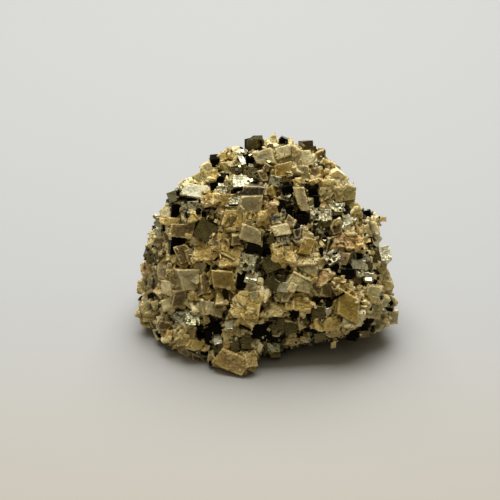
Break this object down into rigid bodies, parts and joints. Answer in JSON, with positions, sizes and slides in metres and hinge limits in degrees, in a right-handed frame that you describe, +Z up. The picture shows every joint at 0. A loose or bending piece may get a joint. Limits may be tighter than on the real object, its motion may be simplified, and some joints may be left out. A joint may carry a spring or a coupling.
{
  "type": "pyrite specimen",
  "caption": "Palm-sized cluster of small metallic pyrite cubes grown together with blocky tan rhombs, resting on its broken underside.",
  "frame": {"origin": "on the broken flat underside, near its middle, in the plane the specimen rests on", "axes": "+Z up from the rest plane; +X along the longest width; the foot points towards -Y, the side that is looked at"},
  "size_m": [0.0825, 0.0687, 0.0607],
  "materials": {
    "specimen": "sugary, iron-stained tan rhombs with brassy to blackish metallic pyrite cubes"
  },
  "bodies": {
    "root": {"pyrite_specimen": "specimen"}
  },
  "joints": []
}
